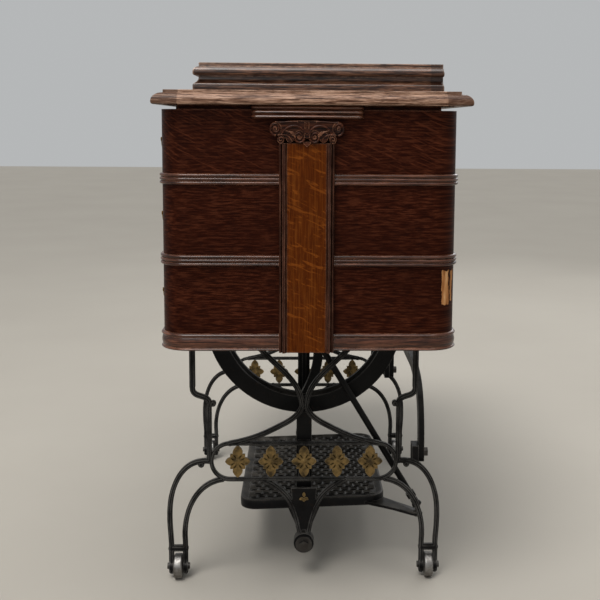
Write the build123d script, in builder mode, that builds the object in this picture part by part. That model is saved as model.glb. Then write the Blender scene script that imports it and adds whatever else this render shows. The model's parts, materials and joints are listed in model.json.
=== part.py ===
from build123d import *
import math
import os

# Treadle sewing machine: oak cabinet with two drawer wings on a cast iron treadle stand.
# Row frame, in millimetres: +Z is up, the sewer sits at -Y, the table's length runs along X.
# The origin is on the floor, under the centre of the table top.

os.makedirs("parts", exist_ok=True)

# ---------------------------------------------------------------- driving dimensions
table_half_len = 446
table_half_dep = 217
table_top_z = 762
slab_thick = 20
slab_low_z = table_top_z - slab_thick
slab_cap_thick = 3
slab_cap_inset = 15

frame_x = 280
iron_y = -10
foot_y = 198
prong_offset = 11
prong_high_z = 60
prong_bridge_z = 49
knee_z = 191
shoulder_z = 278
hip_z = 311
web_half = 2.5
rib_half = 5.5
bar_width = 8
rib_width = 3.5
upper_bar_y = 173.5
lower_bar_y = 148
oval_low_z = 161.5
oval_end_y = 116
oval_high_z = 219.5
boss_z = 58
boss_r = 16
rod_r = 5
flange_low_z = 736
flange_reach = 28
brace_x = 262
brace_pad_x = 270

# the curved bars in the back half of an end frame, each as (distance behind its centre, height)
outer_leg = [(foot_y + prong_offset, prong_high_z), (211, 104), (206, 143), (184, 181), (lower_bar_y, knee_z)]
inner_leg = [(foot_y - prong_offset, prong_high_z), (185, 97), (164, 142), (128, oval_low_z)]
shoulder_bar = [(lower_bar_y, shoulder_z), (153.5, 293), (167, 298), (upper_bar_y, hip_z)]
waist_bar = [(oval_end_y, oval_high_z), (76, 230), (37, 248), (10, 267), (3, 281)]
fan_bar = [(3, 281), (14, 313), (52, 354), (112, 423), (upper_bar_y, 528)]
boss_bar = [(65, oval_low_z), (44, 149.5), (27, 133), (15, 109), (7, 76)]
# the shield plate between the two boss bars: half of its outline
shield_edge = [(20, 147), (18, 118), (8, 78)]
shield_mark_z = 130

caster_r = 19.5
caster_width = 13
axle_r = 3

wheel_z = 414
wheel_rim_r = 157
wheel_inner_r = 127
wheel_x0 = 207
wheel_x1 = 239
stud_r = 9
crank_r = 24
pitman_x = 265
ball_y = 181
ball_z = 112.8
ball_r = 5.5

treadle_front = 105
treadle_back = 133
treadle_x0 = -110
treadle_x1 = 222
treadle_z = 101
treadle_tilt = 2.0

wing_x0 = 288
wing_x1 = 430
wing_y = -4
wing_half_dep = 205
wing_corner_r = 36
wing_low_z = 403
wing_high_z = 736
moulding_out = 4
rail_zs = (521.5, 633.5)
rail_height = 15.5
base_band_height = 24
pilaster_y = -8
pilaster_half = 38
pilaster_panel_half = 27
capital_low_z = 692
capital_high_z = 722
block_y = -7
block_half = 73
block_low_z = 723.5
block_reed = (slab_low_z - 0.05 - block_low_z) / 3
pilaster_x1 = 444

drawer_x0 = 299
drawer_x1 = 391
drawer_wall = 8
drawer_back_y = 176
drawer_gap = 1

lid_half_len = 310
lid_y = 10
lid_half_dep = 185.5
lid_back_y = lid_y + lid_half_dep
lid_low_z = table_top_z + 0.5
lid_pivot_y = lid_back_y + 5
lid_pivot_z = 767.5
hinge_half_len = 30
lid_hinge_x = 190

opening_half_len = 195
opening_front_y = -165
opening_back_y = 150
head_hinge_x = 155
hinge_notch_half = 13
flap_len = 130
flap_thick = 18

head_pivot_z = 752
bed_half_len = 185
bed_dep = 178
bed_thick = 9
arm_axis_s = 90
handwheel_t = 205
handwheel_r = 60
shaft_r = 7

SIDES = (("right", 1), ("left", -1))


def save(piece, name):
    """Label a finished piece and write its STEP file."""
    piece.label = name
    export_step(piece, f"parts/{name}.step")


def slab_box(x0, x1, y0, y1, z0, z1, mode=Mode.ADD):
    """A box given by its limits along each axis."""
    with Locations(((x0 + x1) / 2, (y0 + y1) / 2, (z0 + z1) / 2)):
        Box(abs(x1 - x0), abs(y1 - y0), abs(z1 - z0), mode=mode)


def rod_x(x0, x1, y, z, radius, mode=Mode.ADD):
    """A round bar along X."""
    with Locations(Location(((x0 + x1) / 2, y, z), (0, 90, 0))):
        Cylinder(radius, abs(x1 - x0), mode=mode)


def rod_y(x, y0, y1, z, radius, mode=Mode.ADD):
    """A round bar along Y."""
    with Locations(Location((x, (y0 + y1) / 2, z), (90, 0, 0))):
        Cylinder(radius, abs(y1 - y0), mode=mode)


# ---------------------------------------------------------------- cast iron stand
def frame_plane(side):
    """The plane of one end frame: local x is Y from the iron's centre, local y is Z."""
    return Plane(origin=(side * frame_x, iron_y, 0), x_dir=(0, 1, 0), z_dir=(1, 0, 0))


def stroke(points, width, tangents=None):
    """One cast bar that follows a smooth curve in the current sketch, with round ends."""
    with BuildLine() as path:
        Spline(*points, tangents=tangents)
    trace(path.line, line_width=width)
    with Locations(points[0], points[-1]):
        Circle(width / 2)


def straight(points, width):
    """One straight cast bar in the current sketch, with round ends."""
    with BuildLine() as path:
        Line(*points)
    trace(path.line, line_width=width)
    with Locations(*points):
        Circle(width / 2)


def frame_half(width):
    """The bars of the back half of an end frame."""
    outer_prong = foot_y + prong_offset
    inner_prong = foot_y - prong_offset
    for prong in (outer_prong, inner_prong):
        straight([(prong, 11), (prong, prong_high_z)], width)
    straight([(inner_prong, prong_bridge_z), (outer_prong, prong_bridge_z)], width + 2)
    for bar in (outer_leg, inner_leg, shoulder_bar, waist_bar, fan_bar, boss_bar):
        stroke(bar, width)
    straight([(lower_bar_y, knee_z), (lower_bar_y, shoulder_z)], width)
    straight([(upper_bar_y, hip_z), (upper_bar_y, flange_low_z - 1)], width + 1)
    # cast curls inside the shoulder and outside the knee
    with Locations((lower_bar_y - 6, 284), (161, 186)):
        Circle(width / 2 + 1)


def frame_outline(width):
    """All the bars of an end frame, mirrored about its centre line."""
    frame_half(width)
    mirror(about=Plane.YZ)
    straight([(-upper_bar_y, flange_low_z - 1), (upper_bar_y, flange_low_z - 1)], width)
    straight([(-oval_end_y, oval_low_z), (oval_end_y, oval_low_z)], width - 2)
    straight([(-oval_end_y, oval_high_z), (oval_end_y, oval_high_z)], width - 2)
    end_r = (oval_high_z - oval_low_z) / 2
    mid_z = (oval_high_z + oval_low_z) / 2
    for end in (-1, 1):
        with BuildLine() as end_arc:
            ThreePointArc((end * oval_end_y, oval_low_z), (end * (oval_end_y + end_r), mid_z),
                          (end * oval_end_y, oval_high_z))
        trace(end_arc.line, line_width=width - 2)
    with Locations((0, boss_z)):
        Circle(boss_r)


def shield_outline():
    """The shield plate in the V above the boss."""
    with BuildLine() as outline:
        Polyline(*shield_edge, *[(-y, z) for y, z in reversed(shield_edge)], close=True)
    make_face(outline.edges())


def end_frame(side):
    """An end frame: a thin web with a narrow rib along every bar, and its cast lugs."""
    plane = frame_plane(side)
    with BuildPart() as casting:
        with BuildSketch(plane):
            frame_outline(bar_width)
            shield_outline()
        extrude(amount=web_half, both=True)
        with BuildSketch(plane):
            frame_outline(rib_width)
        extrude(amount=rib_half, both=True)
        inner = side * (frame_x - web_half)
        # flange under the table top, with the upper bars standing in it
        slab_box(inner, side * (frame_x - flange_reach), iron_y - upper_bar_y - 4.5, iron_y + upper_bar_y + 4.5,
                 flange_low_z, slab_low_z - 0.3)
        # lug on the back knee that takes the rear brace
        slab_box(inner, side * (brace_x - 12), iron_y + 171, iron_y + 181, knee_z - 7, knee_z + 22)
        # pads that take the centre brace
        slab_box(inner, side * brace_pad_x, iron_y - 9, iron_y + 9, oval_low_z - 3, oval_high_z + 3)
        # bosses for the caster axles
        for end in (-1, 1):
            for prong in (-prong_offset, prong_offset):
                y = iron_y + end * foot_y + prong
                rod_y(side * frame_x, y - 3.5, y + 3.5, caster_r, 8)
                rod_y(side * frame_x, y - 9, y + 9, caster_r, axle_r, mode=Mode.SUBTRACT)
        rod_x(side * (frame_x - 12), side * (frame_x + 6), iron_y, boss_z, boss_r)
        rod_x(side * (frame_x - 30), side * (frame_x + 30), iron_y, boss_z, rod_r, mode=Mode.SUBTRACT)
    return casting.part


for label, side in SIDES:
    save(end_frame(side), f"end_frame_{label}")

# gilt ornaments: a row of rosettes inside the oval, and a small one on the shield
rosette_r = 19
rosette_pitch = 52
rosette_hole_r = 8
oval_mid_z = (oval_low_z + oval_high_z) / 2
for label, side in SIDES:
    with BuildPart() as ornaments:
        face = Plane(origin=(side * (frame_x + web_half + 0.2), iron_y, 0),
                     x_dir=(0, side, 0), z_dir=(side, 0, 0))
        with BuildSketch(face):
            for step in range(-2, 3):
                with Locations((step * rosette_pitch, oval_mid_z)):
                    RegularPolygon(rosette_r, 8)
                    Circle(rosette_hole_r, mode=Mode.SUBTRACT)
        extrude(amount=-5)
        with BuildSketch(face):
            for step in range(-2, 3):
                with Locations((step * rosette_pitch, oval_mid_z)):
                    Rectangle(6, oval_high_z - oval_low_z - 6.4)
                    Circle(rosette_hole_r, mode=Mode.SUBTRACT)
        extrude(amount=-4)
        with BuildSketch(face.offset(-0.18)):
            with Locations((0, shield_mark_z)):
                RegularPolygon(rosette_hole_r, 8)
        extrude(amount=1.5)
    save(ornaments.part, f"frame_ornaments_{label}")

with BuildPart() as treadle_rod:
    rod_x(-frame_x - 14, frame_x + 14, iron_y, boss_z, rod_r)
    for end in (-1, 1):
        rod_x(end * (frame_x + 6), end * (frame_x + 12), iron_y, boss_z, 13)
        with BuildSketch(Plane(origin=(end * (frame_x + 12), iron_y, boss_z), z_dir=(end, 0, 0))):
            RegularPolygon(8, 6)
        extrude(amount=6)
save(treadle_rod.part, "treadle_rod")

# centre brace: crossed bars between the frames, and the post that carries the band wheel
brace_plane = Plane(origin=(0, iron_y, 0), x_dir=(1, 0, 0), z_dir=(0, -1, 0))
post_x = 182
post_top_z = wheel_z - 6


def brace_outline(width):
    """The bars of the centre brace, in the plane between the two frames."""
    for end in (-1, 1):
        stroke([(end * brace_x, 252), (end * 170, 228), (0, 211), (end * -170, 178), (end * -brace_x, 154)],
               width)
    stroke([(225, 240), (200, 249), (186, 281), (post_x, post_top_z)], width + 4)
    stroke([(110, 218), (150, 246), (174, 306), (post_x, post_top_z)], width)


with BuildPart() as center_brace:
    with BuildSketch(brace_plane):
        brace_outline(14)
    extrude(amount=3, both=True)
    with BuildSketch(brace_plane):
        brace_outline(6)
    extrude(amount=9, both=True)
    for end in (-1, 1):
        slab_box(end * (brace_pad_x - 0.3), end * brace_x, iron_y - 12, iron_y + 12, 141, 266)
    rod_x(165, 199, iron_y, wheel_z, 20)
    rod_x(150, 210, iron_y, wheel_z, stud_r, mode=Mode.SUBTRACT)
save(center_brace.part, "center_brace")

with BuildPart() as wheel_stud:
    rod_x(162, 246, iron_y, wheel_z, stud_r)
    rod_x(241, 250, iron_y, wheel_z, 12)
    rod_x(155, 164.7, iron_y, wheel_z, 14)
save(wheel_stud.part, "wheel_stud")

rear_plane = Plane(origin=(0, iron_y + 186, 0), x_dir=(1, 0, 0), z_dir=(0, -1, 0))
with BuildPart() as rear_brace:
    with BuildSketch(rear_plane):
        for end in (-1, 1):
            stroke([(end * brace_x, 192), (end * 260, 232), (end * 232, 288), (end * 165, 311), (0, 315)], 18,
                   tangents=[(0, 1), (-end, 0)])
    extrude(amount=4.6, both=True)
save(rear_brace.part, "rear_brace")

with BuildPart() as brace_bolts:
    for end in (-1, 1):
        with BuildSketch(Plane(origin=(end * brace_x, iron_y + 190.8, 199), z_dir=(0, 1, 0))):
            RegularPolygon(7, 6)
        extrude(amount=6)
        for z in (186, 221):
            rod_x(end * (brace_x - 7), end * (brace_x - 0.1), iron_y, z, 6)
save(brace_bolts.part, "brace_bolts")

# ---------------------------------------------------------------- moving ironwork
wheel_axis_plane = Plane(origin=(0, iron_y, wheel_z), x_dir=(1, 0, 0), z_dir=(0, -1, 0))
with BuildPart() as band_wheel:
    with BuildSketch(wheel_axis_plane):
        with BuildLine():
            Polyline(
                (wheel_x0, wheel_inner_r + 4),
                (wheel_x0, wheel_rim_r),
                (wheel_x0 + 14, wheel_rim_r),
                (wheel_x0 + 18, wheel_rim_r - 7),
                (wheel_x0 + 22, wheel_rim_r - 7),
                (wheel_x0 + 26, wheel_rim_r),
                (wheel_x1, wheel_rim_r),
                (wheel_x1, wheel_inner_r + 4),
                (wheel_x1 - 6, wheel_inner_r + 4),
                (wheel_x1 - 12, wheel_inner_r),
                (wheel_x0 + 12, wheel_inner_r),
                (wheel_x0 + 6, wheel_inner_r + 4),
                close=True,
            )
        make_face()
    revolve(axis=Axis((0, iron_y, wheel_z), (1, 0, 0)))
    rod_x(202, 240, iron_y, wheel_z, 24)
    with BuildSketch(Plane(origin=(223, iron_y, wheel_z), x_dir=(0, 1, 0), z_dir=(1, 0, 0))):
        for quarter in range(4):
            turn = math.radians(90 * quarter)
            path = [(0, -18), (19, -44), (20, -84), (3, -wheel_inner_r - 2)]
            stroke([(x * math.cos(turn) - y * math.sin(turn), x * math.sin(turn) + y * math.cos(turn))
                    for x, y in path], 15)
    extrude(amount=6, both=True)
    rod_x(195, 250, iron_y, wheel_z, stud_r + 0.08, mode=Mode.SUBTRACT)
save(band_wheel.part, "band_wheel")

rod_dy = ball_y
rod_dz = wheel_z - ball_z
rod_reach = math.hypot(rod_dy, rod_dz)
rod_dir = (-rod_dy / rod_reach, rod_dz / rod_reach)
pin_y = iron_y + crank_r * rod_dir[0]
pin_z = wheel_z + crank_r * rod_dir[1]
pitman_len = rod_reach + crank_r

with BuildPart() as crank_pin:
    rod_x(240.2, 247, pin_y, pin_z, 11)
    rod_x(247, 257, pin_y, pin_z, 6)
save(crank_pin.part, "crank_pin")

tilt = Rotation(treadle_tilt, 0, 0)
slot_rows = 9
slot_pitch_x = 30
slot_pitch_y = 23
with BuildPart() as treadle_plate:
    with BuildSketch(Plane.XY):
        with Locations(((treadle_x0 + treadle_x1) / 2, (treadle_back - treadle_front) / 2)):
            RectangleRounded(treadle_x1 - treadle_x0, treadle_back + treadle_front, 28)
    extrude(amount=5, both=True)
    with BuildSketch(Plane.XY.offset(-5)):
        with Locations(((treadle_x0 + treadle_x1) / 2, (treadle_back - treadle_front) / 2)):
            RectangleRounded(treadle_x1 - treadle_x0, treadle_back + treadle_front, 28)
            RectangleRounded(treadle_x1 - treadle_x0 - 14, treadle_back + treadle_front - 14, 22,
                             mode=Mode.SUBTRACT)
    extrude(amount=-6)
    with BuildSketch(Plane.XY.offset(-6)):
        for row in range(slot_rows):
            y = (row - (slot_rows - 1) / 2) * slot_pitch_y + (treadle_back - treadle_front) / 2
            count = 10 - row % 2
            for column in range(count):
                x = (column - (count - 1) / 2) * slot_pitch_x + (treadle_x0 + treadle_x1) / 2
                with Locations((x, y)):
                    Ellipse(11.5, 7.5)
    extrude(amount=14, mode=Mode.SUBTRACT)
plate = treadle_plate.part.moved(Location((0, iron_y, treadle_z)) * tilt)

with BuildPart() as treadle_frame:
    add(plate)
    for x in (-100, 56, 212):
        with BuildSketch(Plane(origin=(x, iron_y, 0), x_dir=(0, 1, 0), z_dir=(1, 0, 0))):
            with BuildLine():
                Polyline((-13, boss_z), (-30, treadle_z - 4), (30, treadle_z - 3), (13, boss_z), close=True)
            make_face()
            with Locations((0, boss_z)):
                Circle(13)
        extrude(amount=5, both=True)
    rod_x(-150, 250, iron_y, boss_z, 5.4, mode=Mode.SUBTRACT)
    # ear that reaches out to the pitman
    with BuildSketch(Plane.XY.offset(treadle_z - 4)):
        with BuildLine():
            Polyline((204, iron_y + 112), (196, iron_y + 128), (pitman_x - 6, iron_y + ball_y + 7),
                     (pitman_x + 6, iron_y + ball_y - 7), (222, iron_y + 100), close=True)
        make_face()
        with Locations((pitman_x, iron_y + ball_y)):
            Circle(8)
    extrude(amount=4)
    with Locations((pitman_x, iron_y + ball_y, treadle_z)):
        Cylinder(3.05, 20, mode=Mode.SUBTRACT)
save(treadle_frame.part, "treadle_plate")

with BuildPart() as ball_stud:
    with Locations((pitman_x, iron_y + ball_y, ball_z)):
        Sphere(ball_r)
    with Locations((pitman_x, iron_y + ball_y, (treadle_z - 7 + ball_z) / 2)):
        Cylinder(3, ball_z - treadle_z + 7)
    with Locations((pitman_x, iron_y + ball_y, treadle_z - 5.55)):
        Cylinder(5, 3)
save(ball_stud.part, "ball_stud")

rod_plane = Plane(origin=(pitman_x, iron_y + ball_y, ball_z), x_dir=(1, 0, 0),
                  z_dir=(0, rod_dir[0], rod_dir[1]))
with BuildPart() as pitman_rod:
    with BuildSketch(rod_plane.offset(11)):
        Circle(5)
    extrude(amount=pitman_len - 11 - 19)
    with BuildSketch(rod_plane.offset(15)):
        RegularPolygon(8, 6)
    extrude(amount=9)
save(pitman_rod.part, "pitman_rod")

with BuildPart() as pitman_socket:
    with Locations(Location((pitman_x, iron_y + ball_y, ball_z))):
        Sphere(8)
        Sphere(ball_r + 0.35, mode=Mode.SUBTRACT)
    with BuildSketch(rod_plane.offset(6.5)):
        Circle(6)
    extrude(amount=4.3)
    split(bisect_by=Plane(origin=(0, iron_y + ball_y, ball_z - 1), z_dir=(0, rod_dir[0], rod_dir[1])))
save(pitman_socket.part, "pitman_socket")

with BuildPart() as pitman_bearing:
    rod_x(259, 271.5, pin_y, pin_z, 18)
    rod_x(258, 268, pin_y, pin_z, 8, mode=Mode.SUBTRACT)
save(pitman_bearing.part, "pitman_bearing")

CASTERS = (("front_right", 1, -1), ("back_right", 1, 1), ("front_left", -1, -1), ("back_left", -1, 1))
for label, side, end in CASTERS:
    y = iron_y + end * foot_y
    with BuildPart() as caster:
        rod_y(side * frame_x, y - caster_width / 2, y + caster_width / 2, caster_r, caster_r)
        fillet(caster.edges().filter_by(GeomType.CIRCLE), 2.5)
        rod_y(side * frame_x, y - 10, y + 10, caster_r, axle_r + 0.08, mode=Mode.SUBTRACT)
    save(caster.part, f"caster_wheel_{label}")

with BuildPart() as caster_axles:
    for _, side, end in CASTERS:
        y = iron_y + end * foot_y
        rod_y(side * frame_x, y - prong_offset - 5, y + prong_offset + 5, caster_r, axle_r - 0.02)
        for tip in (-1, 1):
            rod_y(side * frame_x, y + tip * (prong_offset + 4.1), y + tip * (prong_offset + 6.5), caster_r, 5)
save(caster_axles.part, "caster_axles")

# ---------------------------------------------------------------- oak cabinet
with BuildPart() as table_top:
    slab_box(-table_half_len, table_half_len, -table_half_dep, table_half_dep,
             slab_low_z, table_top_z - slab_cap_thick)
    fillet(table_top.edges().filter_by(Axis.Z), 8)
    fillet(table_top.faces().sort_by(Axis.Z)[0].edges(), 6)
    fillet(table_top.faces().sort_by(Axis.Z)[-1].edges(), 8)
    slab_box(-table_half_len + slab_cap_inset, table_half_len - slab_cap_inset,
             -table_half_dep + slab_cap_inset, table_half_dep - slab_cap_inset,
             table_top_z - slab_cap_thick - 1, table_top_z)
    slab_box(-opening_half_len, opening_half_len, opening_front_y, opening_back_y,
             slab_low_z - 1, table_top_z + 1, mode=Mode.SUBTRACT)
    for end in (-1, 1):
        slab_box(end * (head_hinge_x - hinge_notch_half), end * (head_hinge_x + hinge_notch_half),
                 opening_back_y - 1, opening_back_y + 17, slab_low_z - 1, table_top_z + 1, mode=Mode.SUBTRACT)
save(table_top.part, "table_top")

with BuildPart() as lid:
    for inset, low, high in ((1, 0, 10), (7, 10, 23), (0, 23, 39.5), (7, 39.5, 43.5)):
        slab_box(-lid_half_len + inset, lid_half_len - inset, lid_y - lid_half_dep + inset, lid_back_y,
                 lid_low_z + low, lid_low_z + high)
save(lid.part, "lid")

with BuildPart() as lid_hinges:
    for x in (-lid_hinge_x, lid_hinge_x):
        x0 = x - hinge_half_len
        x1 = x + hinge_half_len
        slab_box(x0, x1, lid_pivot_y, lid_pivot_y + 6, table_top_z + 0.01, table_top_z + 2)
        rod_x(x0, x1, lid_pivot_y, lid_pivot_z, 3)
        slab_box(x0, x1, lid_pivot_y, lid_pivot_y + 2.5, table_top_z + 1, lid_pivot_z)
save(lid_hinges.part, "lid_hinges")

with BuildPart() as lid_hinge_leaves:
    for x in (-lid_hinge_x, lid_hinge_x):
        slab_box(x - hinge_half_len, x + hinge_half_len, lid_back_y + 0.02, lid_back_y + 1.5,
                 lid_pivot_z - 3, lid_pivot_z + 18)
save(lid_hinge_leaves.part, "lid_hinge_leaves")

flap_pivot_z = slab_low_z
with BuildPart() as front_flap:
    slab_box(-opening_half_len + 1.5, opening_half_len - 1.5, opening_front_y + 1.5,
             opening_front_y + 1.5 + flap_thick, flap_pivot_z - flap_len, flap_pivot_z - 1)
save(front_flap.part, "front_flap")

# boards that close the space between the wings, under the table top
apron_thick = 13
front_apron_y = -203
front_apron_low_z = 592
rear_apron_y = 183
rear_apron_low_z = 640
with BuildPart() as front_apron:
    slab_box(-wing_x0 + 1, wing_x0 - 1, front_apron_y, front_apron_y + apron_thick,
             front_apron_low_z, slab_low_z - 0.05)
save(front_apron.part, "front_apron")

with BuildPart() as rear_apron:
    slab_box(-wing_x0 + 1, wing_x0 - 1, rear_apron_y, rear_apron_y + apron_thick - 1,
             rear_apron_low_z, slab_low_z - 0.05)
save(rear_apron.part, "rear_apron")

TIERS = (
    ("low", wing_low_z + base_band_height, rail_zs[0]),
    ("mid", rail_zs[0] + rail_height, rail_zs[1]),
    ("top", rail_zs[1] + rail_height, wing_high_z - 4),
)


def wing_outline(side, offset):
    """The plan of a wing, grown by an offset, with its two outer corners rounded."""
    x0 = wing_x0
    x1 = wing_x1 + offset
    half = wing_half_dep + offset
    radius = wing_corner_r + offset
    with BuildLine() as outline:
        Line((side * x0, wing_y - half), (side * (x1 - radius), wing_y - half))
        RadiusArc((side * (x1 - radius), wing_y - half), (side * x1, wing_y - half + radius), -side * radius)
        Line((side * x1, wing_y - half + radius), (side * x1, wing_y + half - radius))
        RadiusArc((side * x1, wing_y + half - radius), (side * (x1 - radius), wing_y + half), -side * radius)
        Line((side * (x1 - radius), wing_y + half), (side * x0, wing_y + half))
        Line((side * x0, wing_y + half), (side * x0, wing_y - half))
    make_face(outline.edges())


front_y = wing_y - wing_half_dep
for label, side in SIDES:
    with BuildPart() as wing_case:
        with BuildSketch(Plane.XY.offset(wing_low_z)):
            wing_outline(side, 0)
        extrude(amount=wing_high_z - wing_low_z)
        for tier, low, high in TIERS:
            slab_box(side * (drawer_x0 - drawer_gap), side * (drawer_x1 + drawer_gap),
                     front_y - 1, drawer_back_y + 4, low, high, mode=Mode.SUBTRACT)
    save(wing_case.part, f"wing_case_{label}")

    with BuildPart() as mouldings:
        for low, height, beads in ((wing_low_z, base_band_height, 2), (rail_zs[0], rail_height, 3),
                                   (rail_zs[1], rail_height, 3)):
            bead = height / beads
            with BuildSketch(Plane.XY.offset(low)):
                wing_outline(side, moulding_out - 1.5)
            extrude(amount=height)
            for number in range(beads):
                with BuildSketch(Plane.XY.offset(low + bead * (number + 0.14))):
                    wing_outline(side, moulding_out)
                extrude(amount=bead * 0.72)
        with BuildSketch(Plane.XY.offset(wing_low_z - 1)):
            wing_outline(side, 0.02)
        extrude(amount=wing_high_z - wing_low_z, mode=Mode.SUBTRACT)
        slab_box(side * (wing_x1 - 5), side * (wing_x1 + 10), pilaster_y - pilaster_half - 0.02,
                 pilaster_y + pilaster_half + 0.02, wing_low_z - 1, wing_high_z, mode=Mode.SUBTRACT)
        slab_box(side * (wing_x0 - 1), side * (wing_x0 + 1), wing_y - 230, wing_y + 230,
                 wing_low_z - 1, wing_high_z, mode=Mode.SUBTRACT)
    save(mouldings.part, f"wing_mouldings_{label}")

    with BuildPart() as pilaster:
        slab_box(side * (wing_x1 + 0.02), side * pilaster_x1, pilaster_y - pilaster_half,
                 pilaster_y + pilaster_half, wing_low_z - 1, capital_low_z - 1)
        slab_box(side * (pilaster_x1 - 5), side * (pilaster_x1 + 1), pilaster_y - pilaster_panel_half,
                 pilaster_y + pilaster_panel_half, wing_low_z - 2, capital_low_z, mode=Mode.SUBTRACT)
    save(pilaster.part, f"pilaster_{label}")

with BuildPart() as capitals:
    for side in (1, -1):
        middle_z = (capital_low_z + capital_high_z) / 2
        with BuildSketch(Plane(origin=(side * (wing_x1 + 0.02), pilaster_y, middle_z),
                               x_dir=(0, 1, 0), z_dir=(1, 0, 0))):
            with Locations((0, 1)):
                Rectangle(84, 26)
            with Locations((-35.5, 1), (35.5, 1)):
                Circle(13.8)
        extrude(amount=side * (pilaster_x1 + 1.5 - wing_x1))
save(capitals.part, "capitals")

with BuildPart() as cap_blocks:
    for side in (1, -1):
        for number in range(3):
            low = block_low_z + number * block_reed
            slab_box(side * (wing_x1 + 0.02), side * (wing_x1 + 12), block_y - block_half, block_y + block_half,
                     low, low + 0.8 * block_reed)
        slab_box(side * (wing_x1 + 0.02), side * (wing_x1 + 10), block_y - block_half + 2,
                 block_y + block_half - 2, block_low_z, slab_low_z - 0.05)
save(cap_blocks.part, "cap_blocks")

# iron clips that carry each wing on the frame's back bars, as (front, back, drop below the wing)
CLIPS = ((157, 162, 11), (187, 195, 21))
with BuildPart() as wing_clips:
    for side in (1, -1):
        for y0, y1, drop in CLIPS:
            slab_box(side * (frame_x + rib_half + 0.5), side * (wing_x0 + 12), iron_y + y0, iron_y + y1,
                     wing_low_z - drop, wing_low_z - 0.02)
save(wing_clips.part, "wing_clips")

with BuildPart() as spacer_boards:
    for side in (1, -1):
        slab_box(side * (wing_x0 + 2), side * (wing_x1 - 8), wing_y - 180, wing_y + 180,
                 wing_high_z + 0.05, slab_low_z - 0.05)
save(spacer_boards.part, "spacer_boards")

for label, side in SIDES:
    for tier, low, high in TIERS:
        with BuildPart() as drawer:
            slab_box(side * drawer_x0, side * drawer_x1, front_y, drawer_back_y,
                     low + drawer_gap, high - drawer_gap)
            slab_box(side * (drawer_x0 + drawer_wall), side * (drawer_x1 - drawer_wall),
                     front_y + 2 * drawer_wall, drawer_back_y - drawer_wall,
                     low + drawer_gap + drawer_wall, high, mode=Mode.SUBTRACT)
        save(drawer.part, f"drawer_{tier}_{label}")
        middle_x = side * (drawer_x0 + drawer_x1) / 2
        middle_z = (low + high) / 2
        with BuildPart() as pull:
            with BuildSketch(Plane(origin=(middle_x, front_y - 0.02, middle_z), z_dir=(0, -1, 0))):
                Ellipse(20, 12)
            extrude(amount=2)
            with Locations(Location((middle_x, front_y - 6, middle_z - 5), (90, 0, 0))):
                Torus(12, 2)
            rod_y(middle_x, front_y - 8, front_y - 1, middle_z + 7, 3)
        save(pull.part, f"pull_{tier}_{label}")

# ---------------------------------------------------------------- sewing head
# The head is drawn as it stands in use and then folded down about its rear hinge.
head_y = opening_back_y
bed_low_z = head_pivot_z + 1
bed_high_z = bed_low_z + bed_thick
head_axis = Axis((0, head_y, head_pivot_z), (1, 0, 0))
arm_y = head_y - arm_axis_s
knuckle_half = 4
hinge_pin_r = 3
needle_x = -160


def fold(piece):
    """Turn a piece of the head from its sewing position to its stored position."""
    return piece.rotate(head_axis, 90)


with BuildPart() as head_bed:
    slab_box(-bed_half_len, bed_half_len, head_y - bed_dep, head_y - 1, bed_low_z, bed_high_z)
    fillet(head_bed.edges().filter_by(Axis.Z).group_by(Axis.Y)[0], 30)
    slab_box(-bed_half_len + 12, bed_half_len - 40, head_y - 150, head_y - 40, bed_low_z - 22, bed_low_z)
    for end in (-1, 1):
        x0 = end * (head_hinge_x - knuckle_half)
        x1 = end * (head_hinge_x + knuckle_half)
        slab_box(end * (head_hinge_x - hinge_notch_half), end * (head_hinge_x + hinge_notch_half),
                 head_y - 9, head_y, bed_low_z - 1, bed_high_z + 1, mode=Mode.SUBTRACT)
        rod_x(x0, x1, head_y, head_pivot_z, 6)
        slab_box(x0, x1, head_y - 10, head_y, head_pivot_z, head_pivot_z + 6)
        rod_x(end * 140, end * 170, head_y, head_pivot_z, hinge_pin_r + 0.4, mode=Mode.SUBTRACT)
save(fold(head_bed.part), "head_bed")

with BuildPart() as head_hinges:
    for end in (-1, 1):
        rod_x(end * (head_hinge_x - 10), end * (head_hinge_x + 10), head_y, head_pivot_z, hinge_pin_r)
        for x0, x1 in ((144, 149), (161, 166)):
            slab_box(end * x0, end * x1, head_y, head_y + 16.98, head_pivot_z - 4, head_pivot_z + 4)
            rod_x(end * x0, end * x1, head_y, head_pivot_z, 4)
save(head_hinges.part, "head_hinges")

with BuildPart() as head_arm:
    with BuildSketch(Plane(origin=(0, arm_y, 0), x_dir=(1, 0, 0), z_dir=(0, -1, 0))):
        with BuildLine():
            top = head_pivot_z
            Polyline((100, bed_high_z), (108, top + 130), (80, top + 172), (-120, top + 182),
                     (-128, top + 120), (-170, top + 120))
            Line((-170, top + 120), (-170, top + 226))
            Spline((-170, top + 226), (-150, top + 238), (0, top + 236), (110, top + 250), (158, top + 236),
                   (164, top + 190), (160, top + 60), (176, bed_high_z))
            Line((176, bed_high_z), (100, bed_high_z))
        make_face()
    extrude(amount=22, both=True)
    fillet(head_arm.edges().group_by(Axis.Y)[0], 8)
    fillet(head_arm.edges().group_by(Axis.Y)[-1], 8)
    rod_x(140, 192, arm_y, head_pivot_z + handwheel_t, shaft_r)
save(fold(head_arm.part), "head_arm")

with BuildPart() as needle_bars:
    for x in (needle_x, needle_x + 18):
        with Locations((x, arm_y, head_pivot_z + 80)):
            Cylinder(3.5, 80)
    with Locations((needle_x, arm_y, head_pivot_z + 28)):
        Cylinder(1, 30)
    slab_box(needle_x - 6, needle_x + 26, arm_y - 6, arm_y + 6, head_pivot_z + 34, head_pivot_z + 41)
save(fold(needle_bars.part), "needle_bars")

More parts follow.
